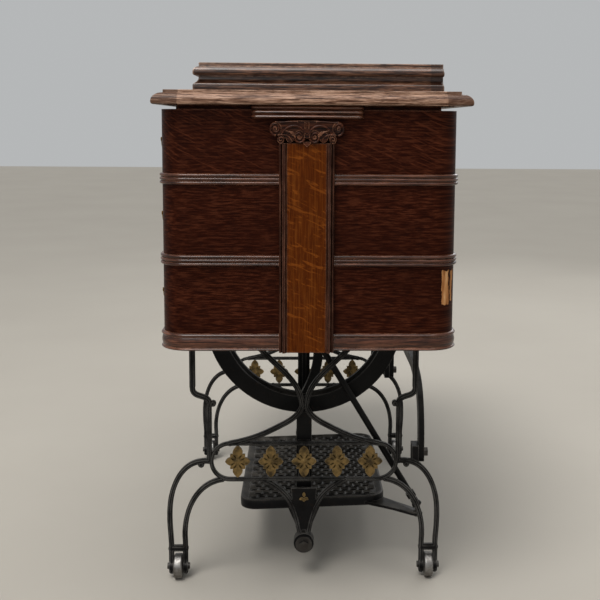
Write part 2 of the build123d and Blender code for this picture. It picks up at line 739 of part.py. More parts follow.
with BuildPart() as face_plates:
    slab_box(-173, -170.02, arm_y - 14, arm_y + 14, head_pivot_z + 126, head_pivot_z + 218)
    slab_box(-176, -130, arm_y - 30, arm_y + 30, bed_high_z + 0.02, bed_high_z + 1.2)
    with Locations((-150, arm_y - 27, head_pivot_z + 185)):
        Cylinder(12, 9, rotation=(90, 0, 0))
save(fold(face_plates.part), "face_plates")

with BuildPart() as handwheel:
    rod_x(170, 188, arm_y, head_pivot_z + handwheel_t, handwheel_r)
    fillet(handwheel.edges().filter_by(GeomType.CIRCLE), 5)
    rod_x(178, 190, arm_y, head_pivot_z + handwheel_t, handwheel_r - 12, mode=Mode.SUBTRACT)
    rod_x(168.5, 189, arm_y, head_pivot_z + handwheel_t, 20)
    rod_x(160, 195, arm_y, head_pivot_z + handwheel_t, shaft_r + 0.08, mode=Mode.SUBTRACT)
save(fold(handwheel.part), "handwheel")
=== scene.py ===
"""Looks of the treadle sewing machine: oak, japanned iron, gilt, and the carved and moulded trim."""
import json
import math

import bmesh
import bpy
from mathutils import Matrix, Vector


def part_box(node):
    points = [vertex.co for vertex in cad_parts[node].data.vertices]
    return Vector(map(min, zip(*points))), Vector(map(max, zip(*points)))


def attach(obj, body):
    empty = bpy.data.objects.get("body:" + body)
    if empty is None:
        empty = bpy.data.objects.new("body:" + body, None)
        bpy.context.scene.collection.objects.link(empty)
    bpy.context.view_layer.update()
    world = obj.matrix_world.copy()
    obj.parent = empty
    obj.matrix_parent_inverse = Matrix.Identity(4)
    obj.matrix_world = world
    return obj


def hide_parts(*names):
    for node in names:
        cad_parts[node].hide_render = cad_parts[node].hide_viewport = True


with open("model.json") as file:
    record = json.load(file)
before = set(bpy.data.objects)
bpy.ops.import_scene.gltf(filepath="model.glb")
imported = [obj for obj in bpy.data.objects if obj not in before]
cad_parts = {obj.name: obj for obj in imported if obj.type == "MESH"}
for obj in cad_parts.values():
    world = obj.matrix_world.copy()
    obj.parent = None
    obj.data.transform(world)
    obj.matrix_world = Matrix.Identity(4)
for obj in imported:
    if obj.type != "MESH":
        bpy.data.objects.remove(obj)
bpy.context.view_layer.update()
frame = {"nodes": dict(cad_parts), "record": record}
SIDES = (("right", 1), ("left", -1))
TIERS = ("low", "mid", "top")
IRON_Y = -0.010         # the centre line of the ironwork

# ---------------------------------------------------------------- camera
SENSOR_WIDTH = 36       # millimetres
LENS = 58.94            # millimetres
LENS_SHIFT = (-0.055, -0.10)
CAMERA_PLACE = (1.7732, -0.0143, 0.7187)
PITCH, YAW, ROLL = 0.1187, 0.0318, 0.0068


def add_camera():
    """A camera that faces the right-hand end, tilted a little down, with the lens shifted to the object."""
    data = bpy.data.cameras.new("camera")
    data.sensor_width = SENSOR_WIDTH
    data.lens = LENS
    data.shift_x, data.shift_y = LENS_SHIFT
    camera = bpy.data.objects.new("camera", data)
    look = Vector((-math.cos(YAW) * math.cos(PITCH), math.sin(YAW) * math.cos(PITCH), -math.sin(PITCH)))
    level = look.to_track_quat("-Z", "Y").to_matrix()
    camera.rotation_euler = (level @ Matrix.Rotation(ROLL, 3, "Z")).to_euler()
    camera.location = CAMERA_PLACE
    bpy.context.scene.collection.objects.link(camera)
    bpy.context.scene.camera = camera


add_camera()


# ---------------------------------------------------------------- mesh helpers
# A shape is a pair: a list of vertices and a list of faces.
def piece(name, shape, material, body, replaces, smooth_angle):
    """A new mesh object that rides on a body, shaded smooth except at edges sharper than an angle."""
    mesh = bpy.data.meshes.new(name)
    mesh.from_pydata(shape[0], [], shape[1])
    built = bmesh.new()
    built.from_mesh(mesh)
    bmesh.ops.remove_doubles(built, verts=built.verts, dist=1e-6)
    bmesh.ops.recalc_face_normals(built, faces=built.faces)
    for face in built.faces:
        face.smooth = True
    for edge in built.edges:
        if len(edge.link_faces) == 2 and edge.calc_face_angle(0) > math.radians(smooth_angle):
            edge.smooth = False
    built.to_mesh(mesh)
    built.free()
    mesh.materials.append(material)
    made = bpy.data.objects.new(name, mesh)
    bpy.context.scene.collection.objects.link(made)
    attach(made, body)
    if replaces:
        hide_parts(*replaces)
    return made


def loft(rings, cap_ends=True, close_rings=True):
    """The surface through rings that have the same number of points."""
    count = len(rings[0])
    verts = [tuple(point) for ring in rings for point in ring]
    faces = []
    span = count if close_rings else count - 1
    for low in range(len(rings) - 1):
        for n in range(span):
            after = (n + 1) % count
            faces.append((low * count + n, low * count + after,
                          (low + 1) * count + after, (low + 1) * count + n))
    if cap_ends:
        faces.append(tuple(range(count)))
        faces.append(tuple((len(rings) - 1) * count + n for n in range(count)))
    return verts, faces


def join_parts(parts):
    """One shape out of several."""
    verts, faces = [], []
    for part_verts, part_faces in parts:
        base = len(verts)
        verts.extend(part_verts)
        faces.extend(tuple(base + n for n in face) for face in part_faces)
    return verts, faces


def around(count):
    """Evenly spaced angles of one full turn."""
    return [2 * math.pi * k / count for k in range(count)]


def plate_x(outline, x0, x1):
    """A flat plate between two X planes. The outline holds (y, z) pairs."""
    return loft([[(x, y, z) for y, z in outline] for x in (x0, x1)])


def tube(points, radius, taper, sides, fixed_across=None):
    """A round bar along a list of points, with a share of the radius for each point."""
    rings = []
    for n, point in enumerate(points):
        before = Vector(points[max(n - 1, 0)])
        after = Vector(points[min(n + 1, len(points) - 1)])
        along = (after - before).normalized()
        across = fixed_across
        if across is None:
            across = along.cross(Vector((1, 0, 0))).normalized()
        third = along.cross(across).normalized()
        r = radius * taper[n]
        rings.append([Vector(point) + r * (math.cos(a) * across + math.sin(a) * third)
                      for a in around(sides)])
    return loft(rings)


def lathe_x(centre, profile, steps=20):
    """A turned shape about the X direction. The profile holds (x offset, radius) pairs."""
    rings = []
    for angle in around(steps):
        rings.append([(centre[0] + x, centre[1] + r * math.cos(angle), centre[2] + r * math.sin(angle))
                      for x, r in profile])
    return loft(rings + [rings[0]], cap_ends=False, close_rings=False)


# ---------------------------------------------------------------- material helpers
class Graph:
    """A short way to write a node material."""

    def __init__(self, name):
        self.material = bpy.data.materials.new(name)
        self.material.use_nodes = True
        self.tree = self.material.node_tree
        self.shader = self.tree.nodes["Principled BSDF"]
        self.place = self.add("ShaderNodeTexCoord").outputs["Object"]
        self.coords = self.place

    def put(self, socket, value):
        """Links a socket to another, or gives it a value."""
        if isinstance(value, bpy.types.NodeSocket):
            self.tree.links.new(value, socket)
        else:
            socket.default_value = value

    def add(self, kind, settings=None, **inputs):
        """A new node, with its settings and named inputs."""
        node = self.tree.nodes.new(kind)
        for key, value in (settings or {}).items():
            setattr(node, key, value)
        for key, value in inputs.items():
            self.put(node.inputs[key], value)
        return node

    def scaled(self, scale, shift=(0, 0, 0)):
        """Coordinates that are scaled, then shifted."""
        return self.add("ShaderNodeMapping", Vector=self.coords, Scale=scale, Location=shift).outputs[0]

    def turned(self, turn, scale):
        """Coordinates that are first turned, then scaled."""
        first = self.add("ShaderNodeMapping", Vector=self.coords, Rotation=turn)
        return self.add("ShaderNodeMapping", Vector=first.outputs[0], Scale=scale).outputs[0]

    def noise(self, vector, detail=4, roughness=0.55, distortion=0):
        """Fractal noise. Its scale is in the coordinates."""
        node = self.add("ShaderNodeTexNoise", Vector=vector, Scale=1, Detail=detail,
                        Roughness=roughness, Distortion=distortion)
        return node.outputs["Fac"]

    def ramp(self, value, *stops):
        """A colour for a value, from (place, colour) stops."""
        node = self.add("ShaderNodeValToRGB", Fac=value)
        ramp = node.color_ramp
        while len(ramp.elements) < len(stops):
            ramp.elements.new(0.5)
        for element, (place, shade) in zip(ramp.elements, stops):
            element.position = place
            element.color = (*shade, 1)
        return node.outputs["Color"]

    def step(self, value, low, high):
        """A mask that rises from 0 to 1 between two limits."""
        return self.ramp(value, (low, (0, 0, 0)), (high, (1, 1, 1)))

    def mix(self, share, first, second):
        """A share of the second colour over the first."""
        node = self.add("ShaderNodeMix", {"data_type": "RGBA"})
        self.put(node.inputs[0], share)
        for socket, value in ((node.inputs[6], first), (node.inputs[7], second)):
            self.put(socket, (*value, 1) if isinstance(value, tuple) else value)
        return node.outputs[2]

    def math(self, operation, first, second=0.0):
        """One step of arithmetic."""
        node = self.add("ShaderNodeMath", {"operation": operation})
        self.put(node.inputs[0], first)
        self.put(node.inputs[1], second)
        return node.outputs[0]

    def plus(self, first, second):
        """The sum of two values."""
        return self.math("ADD", first, second)

    def times(self, first, *others):
        """The product of some values."""
        for other in others:
            first = self.math("MULTIPLY", first, other)
        return first

    def between(self, value, low, high):
        """A mask that is 1 where a value lies between two limits."""
        return self.times(self.math("GREATER_THAN", value, low), self.math("LESS_THAN", value, high))

    def normal(self):
        """The surface normal."""
        return self.add("ShaderNodeNewGeometry").outputs["Normal"]

    def worn_edges(self, radius, low=0.02, high=0.22):
        """A mask that is 1 along sharp edges."""
        bevel = self.add("ShaderNodeBevel", {"samples": 6}, Radius=radius)
        dot = self.add("ShaderNodeVectorMath", {"operation": "DOT_PRODUCT"})
        self.put(dot.inputs[0], bevel.outputs[0])
        self.put(dot.inputs[1], self.normal())
        return self.step(self.math("SUBTRACT", 1.0, dot.outputs["Value"]), low, high)

    def axis(self, name):
        """One coordinate of the surface point."""
        return self.add("ShaderNodeSeparateXYZ", Vector=self.place).outputs[name]

    def facing(self, name):
        """One component of the surface normal."""
        return self.add("ShaderNodeSeparateXYZ", Vector=self.normal()).outputs[name]

    def wrap(self):
        """Lets a pattern that runs along Y follow a board round an upright corner."""
        girth = self.plus(self.axis("X"), self.axis("Y"))
        self.coords = self.add("ShaderNodeCombineXYZ", Y=girth, Z=self.axis("Z")).outputs[0]

    def bump(self, height, strength, distance):
        """Relief on the shader's normal."""
        node = self.add("ShaderNodeBump", Height=height, Strength=strength, Distance=distance)
        self.put(self.shader.inputs["Normal"], node.outputs[0])

    def finish(self, colour, roughness, metallic=0.0, specular=0.5, coat=0.0, coat_rough=0.2):
        """Fills in the shader and gives the material."""
        for socket, value in (("Base Color", colour), ("Roughness", roughness), ("Metallic", metallic),
                              ("Specular IOR Level", specular), ("Coat Weight", coat),
                              ("Coat Roughness", coat_rough)):
            self.put(self.shader.inputs[socket], value)
        return self.material


def shade_of(colour, share):
    """A darker or lighter shade of a colour."""
    return tuple(min(1, share * c) for c in colour)


# ---------------------------------------------------------------- oak
def stretched(grain, along, across):
    """A scale that is small along the grain axis and large across it."""
    return tuple(along if axis == grain else across for axis in "XYZ")


def ray_fleck(g, grain, amount, turn, above):
    """A mask of quarter-sawn ray fleck, slanted to the grain, and kept above a height if one is given."""
    turns = {"X": (0, turn, 0), "Y": (-turn, 0, 0), "Z": (-turn, 0, 0)}
    scales = {"X": (20, 130, 300), "Y": (130, 20, 300), "Z": (60, 38, 190)}
    rays = g.noise(g.turned(turns[grain], scales[grain]), detail=3, roughness=0.5, distortion=1.1)
    mask = g.times(g.step(rays, 0.56, 0.66), amount)
    if above is not None:
        mask = g.times(mask, g.step(g.axis("Z"), above, above + 0.04))
    return mask


def torn_patch(g, patches):
    """A mask of ragged patches, given as (y limits, z limits) pairs, on every face with X above 0."""
    wobble = g.math("SUBTRACT", g.noise(g.scaled((70, 70, 45)), detail=5, roughness=0.65), 0.5)
    across = g.plus(g.axis("Y"), g.times(wobble, 0.009))
    upward = g.plus(g.axis("Z"), g.times(wobble, 0.016))
    inside = 0.0
    for y_limits, z_limits in patches:
        spot = g.times(g.between(across, *y_limits), g.between(upward, *z_limits))
        inside = g.math("MAXIMUM", inside, spot)
    return g.times(inside, g.math("GREATER_THAN", g.axis("X"), 0.0))


def tear(g, patches, colour, height, roughness):
    """Bare fibre, lower and rougher than the veneer, where patches are torn off."""
    inside = torn_patch(g, patches)
    fibre = g.noise(g.scaled((260, 260, 30)), detail=4)
    bare = g.ramp(fibre, (0.32, (0.20, 0.07, 0.02)), (0.52, (0.42, 0.19, 0.07)), (0.72, (0.62, 0.36, 0.17)))
    return (g.mix(inside, colour, bare), g.math("SUBTRACT", height, g.times(inside, 1.2)),
            g.plus(roughness, g.times(inside, 0.35)))


def oak(name, dark, mid, light, grain="Y", streak=18, wrap=False,
        fleck=0.5, fleck_turn=0.4, fleck_above=None, worn=(0.33, 0.2, 0.15), wear=0.7, edge_radius=0.004,
        end_grain=0.0, torn=(), rough=0.42, specular=0.16, coat=0.0):
    """Varnished quarter-sawn oak: grain lines, pores, ray fleck, darker stain in random patches, and edges
    lightened by wear (and on the mouldings as painted highlights).
    """
    g = Graph(name)
    if wrap:
        g.wrap()
    broad = g.noise(g.scaled(stretched(grain, 3, 16), shift=(0.3, 0.1, 0.7)), detail=3, distortion=0.6)
    lines = g.noise(g.scaled(stretched(grain, streak, 420)), detail=6, roughness=0.68, distortion=0.25)
    pores = g.noise(g.scaled(stretched(grain, 60, 1100)), detail=3, roughness=0.6)
    colour = g.ramp(lines, (0.40, dark), (0.50, mid), (0.60, light))
    colour = g.mix(g.step(broad, 0.35, 0.7), colour, g.mix(0.5, colour, dark))
    colour = g.mix(ray_fleck(g, grain, fleck, fleck_turn, fleck_above), colour, shade_of(light, 1.5))
    colour = g.mix(g.times(g.step(pores, 0.58, 0.68), 0.7), colour, shade_of(dark, 0.35))
    g.coords = g.place
    grime = g.noise(g.scaled((55, 55, 55)), detail=5, roughness=0.6)
    colour = g.mix(g.times(g.step(grime, 0.48, 0.75), 0.35), colour, shade_of(dark, 0.5))
    patchy = g.step(g.noise(g.scaled((90, 90, 90)), detail=6, roughness=0.7), 0.36, 0.6)
    # Lightened edges: wear, and where a material sets them high (the mouldings), painted highlights too.
    colour = g.mix(g.times(g.worn_edges(edge_radius), patchy, wear), colour, worn)
    if end_grain:
        far_out = g.math("GREATER_THAN", g.math("ABSOLUTE", g.axis("Y")), end_grain)
        colour = g.mix(g.times(far_out, 0.6), colour, shade_of(dark, 0.8))
    height = g.plus(g.times(pores, -0.7), g.times(lines, -0.35))
    roughness = g.plus(g.times(grime, 0.3), rough - 0.14)
    if torn:
        colour, height, roughness = tear(g, torn, colour, height, roughness)
    g.bump(height, 0.22, 0.0008)
    return g.finish(colour, roughness, specular=specular, coat=coat, coat_rough=0.25)


wing_tones = dict(dark=(0.014, 0.0020, 0.0006), mid=(0.030, 0.0056, 0.0019), light=(0.064, 0.0165, 0.0068),
                  streak=42)
wing_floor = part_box("wing_case_right")[0].z
wing_look = dict(**wing_tones, wrap=True, fleck=0.62, fleck_turn=-0.42, fleck_above=wing_floor + 0.225,
                 worn=(0.20, 0.085, 0.05), rough=0.38, specular=0.05)
torn_veneer = (((0.1805, 0.1915), (wing_floor + 0.0635, wing_floor + 0.1135)),
               ((0.1935, 0.1972), (wing_floor + 0.0680, wing_floor + 0.1120)))
case_oak = oak("case_oak", **wing_look)
chipped_oak = oak("case_oak_chipped", **wing_look, torn=torn_veneer)
drawer_oak = oak("drawer_oak", **wing_tones, grain="X", fleck=0.4, fleck_turn=-0.3, rough=0.38, specular=0.05)
# Its edge colour and share are set high: partly wear, partly painted highlights along the reeds.
moulding_oak = oak(
    "moulding_oak", dark=(0.014, 0.0034, 0.0014), mid=(0.064, 0.0190, 0.0085), light=(0.16, 0.060, 0.032),
    wrap=True, fleck=0.05, worn=(0.46, 0.24, 0.15), wear=0.9, edge_radius=0.0022,
    rough=0.32, specular=0.06, coat=0.65)
pilaster_oak = oak(
    "pilaster_oak", dark=(0.060, 0.0115, 0.0008), mid=(0.082, 0.0170, 0.0012), light=(0.118, 0.031, 0.0036),
    grain="Z", fleck=0.8, fleck_turn=-0.38, wear=0.12, rough=0.34, specular=0.06)
post_oak = oak(
    "post_oak", dark=(0.010, 0.0026, 0.0012), mid=(0.034, 0.0095, 0.0046), light=(0.085, 0.032, 0.018),
    grain="Z", fleck=0.0, worn=(0.27, 0.14, 0.09), wear=0.8, edge_radius=0.0018, specular=0.12)
carved_oak = oak(
    "carved_oak", dark=(0.005, 0.0009, 0.0003), mid=(0.030, 0.0066, 0.0022), light=(0.088, 0.025, 0.010),
    fleck=0.0, worn=(0.42, 0.19, 0.105), wear=0.95, edge_radius=0.0018, specular=0.1, coat=0.12)
top_oak = oak(
    "top_oak", dark=(0.040, 0.016, 0.008), mid=(0.135, 0.064, 0.036), light=(0.25, 0.142, 0.090),
    grain="X", fleck=0.25, worn=(0.50, 0.36, 0.28), rough=0.36, specular=0.2)
edge_oak = oak(
    "edge_oak", dark=(0.042, 0.0150, 0.0068), mid=(0.205, 0.107, 0.065), light=(0.50, 0.315, 0.222),
    streak=26, fleck=0.1, worn=(0.60, 0.41, 0.30), end_grain=0.182, rough=0.34, specular=0.15)
lid_oak = oak(
    "lid_oak", dark=(0.012, 0.0034, 0.0013), mid=(0.058, 0.0215, 0.0102), light=(0.19, 0.092, 0.053),
    streak=26, fleck=0.1, worn=(0.60, 0.40, 0.29), wear=0.9, edge_radius=0.005, end_grain=0.176,
    rough=0.32, specular=0.12, coat=0.75)
lid_field_oak = oak(
    "lid_field_oak", dark=(0.020, 0.0062, 0.0026), mid=(0.078, 0.030, 0.0155), light=(0.18, 0.086, 0.049),
    grain="X", fleck=0.3, worn=(0.50, 0.36, 0.28), rough=0.34, specular=0.2, coat=0.2)


# ---------------------------------------------------------------- iron, other metals and enamel
BLACK = (0.0022, 0.0022, 0.0024)
DUST = (0.11, 0.098, 0.082)
RUST = (0.05, 0.024, 0.012)
# Light edge colour of the iron: bare metal where worn, and also a painted highlight along the bars.
BARE_IRON_AND_HIGHLIGHT = (0.21, 0.20, 0.185)


def iron(name, dusty=0.32, rusty=0.2):
    """Japanned cast iron: near black gloss, sand-cast pitting, dust on top faces, rust freckles, and edges
    lightened by wear and as painted highlights.
    """
    g = Graph(name)
    cast = g.noise(g.scaled((420, 420, 420)), detail=5, roughness=0.6)
    cloud = g.noise(g.scaled((38, 38, 38)), detail=5, roughness=0.65)
    colour = g.ramp(cloud, (0.3, BLACK), (0.7, shade_of(BLACK, 2.6)))
    upward = g.step(g.facing("Z"), 0.15, 0.9)
    colour = g.mix(g.times(upward, g.step(cloud, 0.3, 0.62), dusty), colour, DUST)
    film = g.noise(g.scaled((14, 14, 14)), detail=3)
    colour = g.mix(g.times(g.step(film, 0.42, 0.7), 0.03), colour, DUST)
    freckle = g.noise(g.scaled((150, 150, 150)), detail=4, roughness=0.7)
    colour = g.mix(g.times(g.step(freckle, 0.6, 0.68), rusty), colour, RUST)
    # Painted highlight: the sharp edges are lightened towards bare iron, partly real wear and partly standing
    # in for highlights on the bars.
    edges = g.worn_edges(0.0024, 0.02, 0.26)
    colour = g.mix(g.times(edges, g.step(cloud, 0.34, 0.58), 0.65), colour, BARE_IRON_AND_HIGHLIGHT)
    g.bump(cast, 0.28, 0.0007)
    return g.finish(colour, g.plus(g.times(cloud, 0.35), 0.22), specular=0.10)


def metal(name, base, tarnish, rough, amount=0.5, worn=None, metallic=1.0):
    """Bare or plated metal with tarnish in patches."""
    g = Graph(name)
    cloud = g.noise(g.scaled((70, 70, 70)), detail=5, roughness=0.65)
    fine = g.noise(g.scaled((700, 700, 700)), detail=3)
    colour = g.mix(g.times(g.step(cloud, 0.42, 0.64), amount), base, tarnish)
    colour = g.mix(g.times(g.worn_edges(0.0015, 0.03, 0.3), 0.6), colour, worn or shade_of(base, 1.4))
    g.bump(fine, 0.12, 0.0004)
    return g.finish(colour, g.plus(g.times(cloud, 0.4), rough - 0.1), metallic=metallic)


def enamel(name):
    """Gloss black enamel with a fine gilt line round the raised edges."""
    g = Graph(name)
    cloud = g.noise(g.scaled((30, 30, 30)), detail=4)
    scratches = g.noise(g.scaled((40, 900, 900)), detail=3)
    colour = g.ramp(cloud, (0.3, (0.006, 0.006, 0.007)), (0.7, (0.014, 0.014, 0.015)))
    colour = g.mix(g.times(g.worn_edges(0.006, 0.10, 0.13), 0.5), colour, (0.30, 0.20, 0.06))
    g.bump(cloud, 0.05, 0.0006)
    return g.finish(colour, g.plus(g.times(scratches, 0.25), 0.08), specular=0.2, coat=0.25, coat_rough=0.08)


japanned = iron("japanned_iron")
wheel_iron = iron("wheel_iron", dusty=0.4)
treadle_iron = iron("treadle_iron", dusty=0.6, rusty=0.35)
dark_steel = metal("dark_steel", (0.07, 0.066, 0.062), (0.024, 0.018, 0.014), 0.40)
caster_metal = metal("caster_iron", (0.27, 0.262, 0.25), (0.055, 0.040, 0.030), 0.36, amount=0.7)
hinge_steel = metal("hinge_steel", (0.30, 0.28, 0.25), (0.09, 0.06, 0.04), 0.45)
brass = metal("aged_brass", (0.30, 0.195, 0.075), (0.07, 0.045, 0.020), 0.38, amount=0.65)
nickel = metal("nickel", (0.62, 0.60, 0.56), (0.28, 0.24, 0.19), 0.18, amount=0.4)
gilt = metal("gilt", (0.24, 0.155, 0.055), (0.022, 0.016, 0.008), 0.5, amount=0.85,
             worn=(0.46, 0.33, 0.15), metallic=0.7)
black_enamel = enamel("head_enamel")

FINISHES = {
    "japanned_iron": japanned, "gilt": gilt, "case_oak": case_oak, "moulding_oak": moulding_oak,
    "pilaster_oak": pilaster_oak, "carved_oak": carved_oak, "top_oak": top_oak, "drawer_oak": drawer_oak,
    "pull_brass": brass, "hinge_steel": hinge_steel, "dark_steel": dark_steel, "caster_iron": caster_metal,
    "nickel": nickel, "head_enamel": black_enamel, "pitman_iron": wheel_iron,
}
OWN_FINISH = {"wing_case_right": chipped_oak, "band_wheel": wheel_iron, "treadle_plate": treadle_iron}


def dress_cad():
    """Gives every carried-over CAD node its material."""
    slots = {entry["node"]: entry["material_slot"] for entry in frame["record"]["subparts"]}
    for name, node in frame["nodes"].items():
        node.data.materials.clear()
        node.data.materials.append(OWN_FINISH.get(name, FINISHES[slots[name]]))


dress_cad()


# ---------------------------------------------------------------- lid and table top
# Their edge profiles hold (inset in millimetres, share of the height) pairs.
def rectangle_ring(low, high, inset, height, back_inset):
    """The four corners of a level rectangle, drawn in from the limits low and high."""
    return [(low.x + inset, low.y + inset, height), (high.x - inset, low.y + inset, height),
            (high.x - inset, high.y - back_inset, height), (low.x + inset, high.y - back_inset, height)]


def refinish_ends(made, material, from_x, level_above):
    """Gives a second material to the faces near the two ends, apart from the level ones."""
    made.data.materials.append(material)
    for face in made.data.polygons:
        if abs(face.center.x) > from_x and abs(face.normal.z) < level_above:
            face.material_index = 1


def lid_profile(field=8.2):
    """The lid's edge: a fillet, a cove, a large round and the step of the field."""
    profile = [(1.5, 0.0), (0.4, 0.02), (0.0, 0.06), (0.0, 0.22), (0.5, 0.26)]
    profile += [(field - 7.2 * (1 - math.sin(math.pi / 2 * k / 7)) ** 1.6, 0.28 + 0.24 * k / 7)
                for k in range(8)]
    profile += [(field, 0.56), (1.6, 0.57), (0.3, 0.60), (0.0, 0.66)]
    profile += [(field * (1 - math.cos(math.pi / 2 * k / 8)), 0.66 + 0.20 * math.sin(math.pi / 2 * k / 8))
                for k in range(1, 9)]
    return profile + [(8.4, 0.87), (8.4, 0.985), (9.0, 1.0)]


def lid():
    """The lid: moulded on three sides and square at the back, where the hinges are."""
    low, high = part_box("lid")
    rise = high.z - low.z
    rings = [rectangle_ring(low, high, inset / 1000, low.z + rise * share, min(inset, 1) / 1000)
             for inset, share in lid_profile()]
    made = piece("lid_board", loft(rings), lid_field_oak, "lid", ("lid",), 40)
    refinish_ends(made, lid_oak, high.x - 0.012, 0.999)


def table_profile(nose=14.5, nose_low=0.22, nose_top=0.80):
    """The table top's edge: a round nose under a small step."""
    profile = [(3.0, 0.0), (0.9, 0.04), (0.1, 0.13)]
    for k in range(9):
        turn = math.pi / 2 * k / 8
        profile.append((nose * (1 - math.cos(turn)), nose_low + (nose_top - nose_low) * math.sin(turn)))
    return profile + [(nose + 0.2, 0.83), (nose + 0.2, 0.985), (nose + 0.8, 1.0)]


def table_top():
    """The table top with its moulded edge and the opening for the head."""
    low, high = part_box("table_top")
    rise = high.z - low.z
    opening_x, opening_front, opening_back = 0.195, -0.165, 0.150
    outer = [rectangle_ring(low, high, inset / 1000, low.z + rise * share, inset / 1000)
             for inset, share in table_profile()]
    hole = [(-opening_x, opening_front), (opening_x, opening_front),
            (opening_x, opening_back), (-opening_x, opening_back)]
    under, over = ([(x, y, z) for x, y in hole] for z in (low.z, high.z))
    shape = loft([under, *outer, over, under], cap_ends=False)
    made = piece("table_board", shape, top_oak, "stand", ("table_top",), 30)
    refinish_ends(made, edge_oak, high.x - 0.016, 0.995)


lid()
table_top()

# ---------------------------------------------------------------- wing trim
CORNER_RADIUS = 0.036       # of the wings' upright corners
RAIL_HEIGHT = 0.0155
RAIL_LOWS = (0.5215, 0.6335)
BASE_HEIGHT = 0.024
BAND_OUT = 0.004            # how far the bands stand out from the wings


def wing_face(label, side):
    """The X of a wing's outer face."""
    low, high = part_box(f"wing_case_{label}")
    return high.x if side > 0 else low.x


def round_end(outer, front, back, side, r, steps):
    """The plan of an end with two round corners, as (x, y) pairs from front to back."""
    turns = [math.pi / 2 * k / steps for k in range(steps + 1)]
    points = [(outer - side * r * (1 - math.sin(a)), front + r * (1 - math.cos(a))) for a in turns]
    return points + [(outer - side * r * (1 - math.cos(a)), back - r * (1 - math.sin(a))) for a in turns]


def wing_path(low, high, side, grow):
    """The plan of a wing from its inner front corner round to its inner back corner."""
    inner, outer = (low.x, high.x) if side > 0 else (high.x, low.x)
    front, back = low.y - grow, high.y + grow
    end = round_end(outer + side * grow, front, back, side, CORNER_RADIUS + grow, 9)
    return [(inner, front), *end, (inner, back)]


def cut_path(path, y_low, y_high):
    """Splits the plan path into the part before and the part after a gap along Y."""
    half = len(path) // 2
    outer_x = path[half - 1][0]
    return path[:half] + [(outer_x, y_low)], [(outer_x, y_high)] + path[half:]


def reeds(z0, z1, count, out):
    """The profile of some half-round beads, as (projection, height) pairs."""
    each = (z1 - z0) / count
    profile = [(0.0, z0)]
    for n in range(count):
        for k in range(9):
            angle = math.pi * k / 8
            profile.append((out * (0.35 + 0.65 * math.sin(angle)),
                            z0 + each * (n + 0.5 - 0.46 * math.cos(angle))))
    return profile + [(0.0, z1)]


def base_profile(z0, z1, out):
    """The profile of the lowest band: a bead, a taller flatter swelling and a bead."""
    tall = z1 - z0
    profile = [(0.0, z0)]
    for start, share, least, swell, steps in ((0.0, 0.16, 0.45, 0.55, 6), (0.19, 0.55, 0.50, 0.34, 8),
                                              (0.77, 0.22, 0.42, 0.58, 8)):
        profile += [(out * (least + swell * math.sin(math.pi * k / steps)),
                     z0 + tall * (start + share * k / steps)) for k in range(steps + 1)]
    return profile + [(0.0, z1)]


def swept_moulding(low, high, side, profile):
    """A moulding swept round a wing, stopped either side of the pilaster."""
    pilaster_low, pilaster_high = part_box("pilaster_right")
    parts = []
    for half in (0, 1):
        rings = []
        for grow, height in profile:
            path = cut_path(wing_path(low, high, side, grow), pilaster_low.y, pilaster_high.y)[half]
            rings.append([(x, y, height) for x, y in path])
        parts.append(loft([list(column) for column in zip(*rings)]))
    return join_parts(parts)


def wing_bands(label, side):
    """A wing's two reeded rails and the band at its foot."""
    low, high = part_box(f"wing_case_{label}")
    profiles = [reeds(z, z + RAIL_HEIGHT, 3, BAND_OUT) for z in RAIL_LOWS]
    profiles.append(base_profile(low.z, low.z + BASE_HEIGHT, BAND_OUT))
    shape = join_parts([swept_moulding(low, high, side, profile) for profile in profiles])
    piece(f"reeded_bands_{label}", shape, moulding_oak, "stand",
          (f"wing_mouldings_{label}",), 50)


def pilaster_section(half):
    """The section of a pilaster's frame, as (share of the depth, y) pairs: a bead and a hollow each side."""
    outline = [(0, -half), (0.45, -half)]
    outline += [(0.45 + 0.28 * math.sin(math.pi * k / 8), -half + 0.0045 * (1 - math.cos(math.pi * k / 8)) / 2)
                for k in range(1, 8)]
    outline += [(0.50, -half + 0.0048), (0.97, -half + 0.0050), (1.0, -half + 0.0056), (1.0, -half + 0.0085)]
    outline += [(1.0 - 0.24 * math.sin(math.pi / 2 * k / 4), -half + 0.0085 + 0.0022 * k / 4)
                for k in range(1, 5)]
    outline += [(0.70, -half + 0.0112)]
    return outline + [(share, -y) for share, y in reversed(outline)]


def pilaster(label, side):
    """The pilaster: a bright panel, slightly crowned, in a moulded frame."""
    low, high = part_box(f"pilaster_{label}")
    back = low.x if side > 0 else high.x
    centre = (low.y + high.y) / 2
    depth = high.x - low.x
    half = (high.y - low.y) / 2
    rings = [[(back + side * depth * share, centre + y, z) for share, y in pilaster_section(half)]
             for z in (low.z, high.z)]
    piece(f"pilaster_frame_{label}", loft(rings), post_oak, "stand",
          (f"pilaster_{label}",), 30)
    panel_half = half - 0.0114
    panel_back, face_x = back + side * depth * 0.60, back + side * depth * 0.74
    crown = 0.0006
    rings = []
    for z in (low.z + 0.0005, high.z - 0.0005):
        ring = [(panel_back, centre + panel_half, z), (panel_back, centre - panel_half, z)]
        ring += [(face_x + side * crown * math.sin(math.pi * k / 6),
                  centre - panel_half + 2 * panel_half * k / 6, z) for k in range(7)]
        rings.append(ring)
    piece(f"pilaster_panel_{label}", loft(rings), pilaster_oak, "stand", (), 40)


for label, side in SIDES:
    wing_bands(label, side)
for label, side in SIDES:
    pilaster(label, side)


